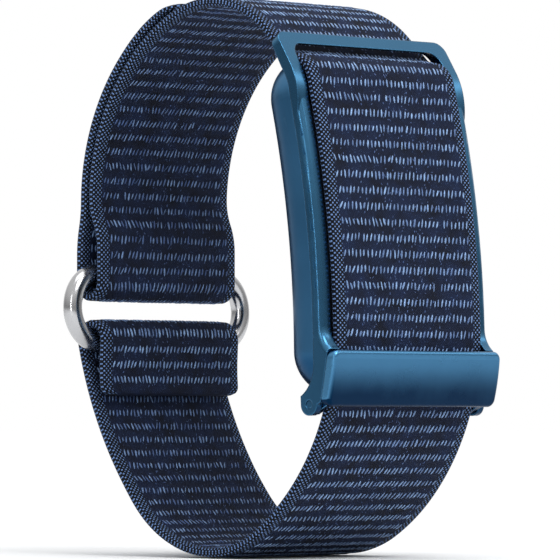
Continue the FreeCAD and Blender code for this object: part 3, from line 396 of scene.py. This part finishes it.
def tail_run():
    """Up from the fold and back over the strap, to lie along the back of the loop."""
    outer = BACK_BEND + STRAP_THICK + TAIL_GAP
    inset = BACK_BEND - CROWN_BEND
    turned = math.radians(CROWN_TURN)
    back_centre = (inset * math.sin(turned), CROWN_Z - CROWN_BEND - inset * math.cos(turned))
    lean_centre = (ROOT_X + TAIL_ROOT_BEND, TAIL_START_Z)
    hollow = meeting(lean_centre, 2 * TAIL_ROOT_BEND, back_centre, outer + TAIL_ROOT_BEND)
    run = Path(ROOT_X, ROOT_Z, 90).line(TAIL_START_Z - ROOT_Z)
    run.right_to(TAIL_ROOT_BEND, bearing(lean_centre, hollow) - 90)
    run.left_to(TAIL_ROOT_BEND, bearing(hollow, back_centre) + 90)
    return run.right(outer, TAIL_BACK_TURN).right(TAIL_TIP_BEND, TAIL_TIP_TURN)


tail = tail_run()
strap_line = back_run().backwards().points + front_run().points[1:]


HALF_WIDE = 12.5
HALF_NARROW = 11.65
TAPER = (-15.0, 12.0)


def half_width(x):
    """The webbing narrows from the tracker towards the ring."""
    return np.interp(x, TAPER, [HALF_NARROW, HALF_WIDE])


# ---------------------------------------------------------------- knit fabric

ROW_PITCH = 1.87
ROW_RISE = 0.045
CROWN = 0.03
EDGE_BAND = 1.4
DASHES = 34
FLECKS = 22


def side_offset(share, thickness):
    """Height of a face above the middle line, across the webbing. share runs from -1 to 1."""
    margin = np.clip((np.abs(share) - 0.968) / 0.032, 0, 1)
    rounding = np.clip(1 - margin ** 3, 0, 1) ** 0.5
    crown = CROWN * (1 - share ** 2)
    return (0.5 * thickness + crown) * rounding


def fabric_piece(name, verts, faces, material, **measures):
    """A smooth mesh object whose points carry these named measures for its material."""
    mesh = bpy.data.meshes.new(name)
    mesh.from_pydata(verts.tolist(), [], faces)
    for label, values in measures.items():
        layer = mesh.attributes.new(label, "FLOAT", "POINT")
        layer.data.foreach_set("value", values.astype(np.float32))
    mesh.materials.append(material)
    mesh.shade_smooth()
    piece = bpy.data.objects.new(name, mesh)
    bpy.context.collection.objects.link(piece)
    return piece


def corner_loss(distance, radius):
    """How far a rounded corner pulls in the edge, this far from the band's end."""
    inside = np.clip(radius - distance, 0, radius)
    return radius - np.sqrt(radius ** 2 - inside ** 2)


def cloth(name, line, thickness, start_row=0.0, corners=(0.0, 0.0)):
    """A closed band along a path with raised rows across both faces. corners are the radii of
    its corners at either end."""
    x, z, heading = (np.array(part) for part in zip(*line))
    steps = np.hypot(np.diff(x), np.diff(z))
    along = np.concatenate([[0.0], np.cumsum(steps)]) + start_row
    thick = thickness(along - start_row, along[-1] - start_row)
    out_x, out_z = np.sin(heading), -np.cos(heading)
    half = half_width(x)
    for radius, distance in zip(corners, (along - along[0], along[-1] - along)):
        if radius:
            half = half - corner_loss(distance, radius)
    shares = np.sin(np.linspace(-math.pi / 2, math.pi / 2, 41))
    shares = np.sign(shares) * np.abs(shares) ** 0.9
    ring_share = np.concatenate([shares, shares[-2:0:-1]])
    ring_side = np.concatenate([np.ones(len(shares)), -np.ones(len(shares) - 2)])
    body_area = (1 - np.abs(ring_share)) * HALF_WIDE / EDGE_BAND - 0.6
    body_area = np.clip(body_area * 3, 0, 1)
    row = 0.5 + 0.5 * np.cos(2 * math.pi * along / ROW_PITCH)
    points = []
    for index in range(len(x)):
        height = side_offset(ring_share, thick[index])
        height = height + ROW_RISE * row[index] * body_area
        shift = height * ring_side
        y = ring_share * half[index]
        points.append(np.stack([x[index] + out_x[index] * shift, y,
                                z[index] + out_z[index] * shift], axis=1))
    count = len(ring_share)
    verts = np.concatenate(points) * MM
    faces = []
    for index in range(len(x) - 1):
        base = index * count
        for place in range(count):
            following = (place + 1) % count
            faces.append((base + place, base + following, base + count + following,
                          base + count + place))
    faces.append(tuple(range(count))[::-1])
    last = (len(x) - 1) * count
    faces.append(tuple(last + place for place in range(count)))
    # Distance over the surface from the middle line, so the weave runs on round the edges.
    rise = side_offset(shares, 1.0)
    girth = np.concatenate([[0.0], np.cumsum(np.hypot(np.diff(shares) * HALF_WIDE, np.diff(rise)))])
    girth -= girth[len(shares) // 2]
    across = np.tile(np.concatenate([girth, girth[-2:0:-1]]), len(x))
    piece = fabric_piece(name, verts, faces, knit_cloth, across=across,
                         along=np.repeat(along, count))
    return piece, (x, z, heading, along, thick, half)


def dash_shape():
    """One stitch at the origin: a plump thread along its first axis, as points and faces."""
    rings = [(-0.5, 0.35), (-0.30, 0.85), (0.0, 1.0), (0.30, 0.85), (0.5, 0.35)]
    sides = 6
    verts = []
    for along, fat in rings:
        for side in range(sides):
            angle = 2 * math.pi * side / sides
            verts.append((along, 0.5 * fat * math.cos(angle), 0.5 * fat * math.sin(angle)))
    faces = []
    for ring in range(len(rings) - 1):
        for side in range(sides):
            following = (side + 1) % sides
            faces.append((ring * sides + side, ring * sides + following,
                          (ring + 1) * sides + following, (ring + 1) * sides + side))
    faces.append(tuple(range(sides))[::-1])
    faces.append(tuple((len(rings) - 1) * sides + side for side in range(sides)))
    return np.array(verts), faces


def one_row(number):
    """One row's stitches and the flecks around it: place across, place along, length, width,
    slant and shade of each."""
    made = []
    backward = number % 4 == 1
    for place in range(DASHES):
        if rng.random() < 0.006:
            continue
        share = (place + 0.5 + rng.normal(0, 0.07)) / DASHES * 2 - 1
        slant = rng.normal(0.26, 0.13) - (0.45 if backward and place < DASHES / 3 else 0)
        made.append((share, rng.normal(0, 0.05), rng.uniform(0.68, 1.05),
                     rng.uniform(0.20, 0.32), slant, rng.uniform(0.25, 1.0)))
    for _ in range(FLECKS):
        made.append((rng.normal(0, 0.45), rng.uniform(-0.5, 0.5) * ROW_PITCH,
                     rng.uniform(0.16, 0.34), rng.uniform(0.09, 0.15), rng.normal(0.3, 0.7),
                     rng.uniform(-0.4, 0.2)))
    return [stitch for stitch in made if abs(stitch[0]) < 1]


def stitches(name, measured):
    """Rows of slanted stitches on the raised rows of a band's faces."""
    x, z, heading, along, thick, half = measured
    template, template_faces = dash_shape()
    verts, faces, shades = [], [], []
    first_row = math.ceil((along[0] + 0.5) / ROW_PITCH)
    last_row = math.floor((along[-1] - 0.5) / ROW_PITCH)
    for face in (1, -1):
        for number in range(first_row, last_row + 1):
            for share, offset, length, width, slant, shade in one_row(number):
                centre = number * ROW_PITCH + offset
                if not along[0] + 0.4 < centre < along[-1] - 0.4:
                    continue
                wide = np.interp(centre, along, half) - EDGE_BAND * 1.02
                local = template * [length, width, 0.5 * width + 0.02]
                cosine, sine = math.cos(slant), math.sin(slant)
                run = local[:, 0] * cosine - local[:, 1] * sine
                side = local[:, 0] * sine * face + local[:, 1] * cosine
                where = centre + run
                y = share * wide + side
                px, pz = np.interp(where, along, x), np.interp(where, along, z)
                turn = np.interp(where, along, heading)
                full = np.interp(where, along, half)
                lift = side_offset(y / full, np.interp(where, along, thick))
                lift = (lift + ROW_RISE * max(0.0, math.cos(2 * math.pi * offset / ROW_PITCH))
                        + local[:, 2]) * face
                base = len(verts) * len(template)
                verts.append(np.stack([px + np.sin(turn) * lift, y,
                                       pz - np.cos(turn) * lift], axis=1))
                faces.extend(tuple(base + corner for corner in part) for part in template_faces)
                shades.append(np.full(len(template), shade if face > 0 else shade - 0.3))
    return fabric_piece(name, np.concatenate(verts) * MM, faces, knit_yarn,
                        shade=np.concatenate(shades))


def full_thickness(along, length):
    """Even, but rounded off at the sewn end."""
    return np.interp(along, [0, 0.4], [0.55, 1.0])


def tip_thickness(along, length):
    """Thins towards the pressed tip."""
    return np.interp(along, [0, length - 6, length - 0.3, length], [1.0, 1.0, 0.5, 0.3])


strap_cloth, strap_measured = cloth("strap_cloth", strap_line, full_thickness, 0.0, (1.2, 0.0))
strap_rows = stitches("strap_rows", strap_measured)
tail_start = strap_measured[3][-1]
tail_cloth, tail_measured = cloth("tail_cloth", tail.points, tip_thickness, tail_start, (0.0, 2.5))
tail_rows = stitches("tail_rows", tail_measured)
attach(strap_cloth, "band")
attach(strap_rows, "band")
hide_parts("knit_strap")
# The tail's path bends a few millimetres above the fold; its pieces have their placement baked into
# their points.
for piece in (tail_cloth, tail_rows):
    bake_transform(piece)
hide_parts("strap_tail")

# ---------------------------------------------------------------- floor, light, camera


def floor_card(level, reach, material):
    """A flat square of floor at this level, this far out on every side."""
    mesh = bpy.data.meshes.new("floor")
    corners = [(-reach, -reach, level), (reach, -reach, level), (reach, reach, level),
               (-reach, reach, level)]
    mesh.from_pydata(corners, [], [(0, 1, 2, 3)])
    mesh.materials.append(material)
    made = bpy.data.objects.new("floor", mesh)
    bpy.context.collection.objects.link(made)


# Pale floor that fades to the white backdrop behind the band.
floor_shader = Shader("pale_floor")
spot = floor_shader.place()
reach = floor_shader.node("ShaderNodeVectorMath", {"operation": "LENGTH"})
floor_shader.tree.links.new(spot, reach.inputs[0])


def floor_distance(direction):
    """How far along a direction a spot of the floor is."""
    made = floor_shader.node("ShaderNodeVectorMath", {"operation": "DOT_PRODUCT"})
    floor_shader.tree.links.new(spot, made.inputs[0])
    made.inputs[1].default_value = direction
    return made.outputs["Value"]


behind = floor_distance(-AWAY)
aside = floor_distance(RIGHT)
near = floor_shader.span(reach.outputs["Value"], 0.03, 0.16, smooth=True)
back_half = floor_shader.span(behind, -0.02, 0.12, smooth=True)
widening = floor_shader.math("MULTIPLY", behind, 0.07)
beyond = floor_shader.math("SUBTRACT", floor_shader.math("ABSOLUTE", aside), widening)
in_band = floor_shader.span(beyond, 0.04, 0.10, 1.0, 0.0, smooth=True)
fade = floor_shader.math("MULTIPLY", floor_shader.math("MULTIPLY", near, back_half), in_band)
floor_shader.set(Base_Color=floor_shader.mix(fade, (0.86, 0.87, 0.88, 1), (0.02, 0.02, 0.02, 1)),
                 Roughness=0.9, Specular_IOR_Level=0.0, Emission_Color=(1, 1, 1, 1),
                 Emission_Strength=fade)
FLOOR_Z = -33.45 * MM
FLOOR_REACH = 6.0
floor_card(FLOOR_Z, FLOOR_REACH, floor_shader.material)

# The studio: white behind the band, and on the other sides bright above and dim below.
world = bpy.data.worlds.new("studio")
world.use_nodes = True
bpy.context.scene.world = world
tree = world.node_tree
direction = tree.nodes.new("ShaderNodeTexCoord").outputs["Generated"]


def studio_range(value, low, high, to_low, to_high):
    made = tree.nodes.new("ShaderNodeMapRange")
    made.interpolation_type = "SMOOTHSTEP"
    for name, number in (("From Min", low), ("From Max", high), ("To Min", to_low),
                         ("To Max", to_high)):
        made.inputs[name].default_value = number
    tree.links.new(value, made.inputs["Value"])
    return made.outputs["Result"]


backward = tree.nodes.new("ShaderNodeVectorMath")
backward.operation = "DOT_PRODUCT"
tree.links.new(direction, backward.inputs[0])
backward.inputs[1].default_value = -AWAY
split = tree.nodes.new("ShaderNodeSeparateXYZ")
tree.links.new(direction, split.inputs[0])
sky = tree.nodes.new("ShaderNodeMix")
tree.links.new(studio_range(backward.outputs["Value"], 0.45, 0.92, 0.0, 1.0), sky.inputs[0])
tree.links.new(studio_range(split.outputs["Z"], -0.35, 0.7, 0.05, 0.85), sky.inputs[2])
sky.inputs[3].default_value = 1.0
tree.links.new(sky.outputs[0], tree.nodes["Background"].inputs["Color"])
tree.nodes["Background"].inputs["Strength"].default_value = 1.0


def area(name, azimuth, elevation, distance, width, tall, power):
    """A soft light aimed at the band from this direction, in degrees and metres."""
    light = bpy.data.lights.new(name, "AREA")
    light.shape = "RECTANGLE"
    light.size, light.size_y = width, tall
    light.energy = power
    made = bpy.data.objects.new(name, light)
    turn, rise = math.radians(azimuth), math.radians(elevation)
    spot = Vector((math.sin(turn) * math.cos(rise), -math.cos(turn) * math.cos(rise),
                   math.sin(rise))) * distance
    made.location = spot
    made.rotation_euler = (-spot).to_track_quat("-Z", "Y").to_euler()
    bpy.context.collection.objects.link(made)


area("key", 75, 50, 0.7, 0.3, 0.3, 1.9)
area("top", 44, 85, 0.6, 0.5, 0.3, 1.0)
area("shoulder_strip", 22, 5, 0.7, 0.03, 0.7, 1.0)
area("cover_strip", 136, 30, 0.7, 0.5, 0.10, 0.3)

# A long lens from far off, level with the band.
CAMERA_DISTANCE = 0.65
lens = bpy.data.cameras.new("view")
lens.lens = 346.7
lens.sensor_width = 36.0
lens.clip_start = 0.01
lens.clip_end = 50.0
camera = bpy.data.objects.new("view", lens)
bpy.context.collection.objects.link(camera)
aim = RIGHT * 0.17 * MM + Vector((0, 0, -0.12 * MM))
camera.location = aim + AWAY * CAMERA_DISTANCE
camera.rotation_euler = (-AWAY).to_track_quat("-Z", "Y").to_euler()
bpy.context.scene.camera = camera
bpy.context.scene.view_settings.view_transform = "Standard"
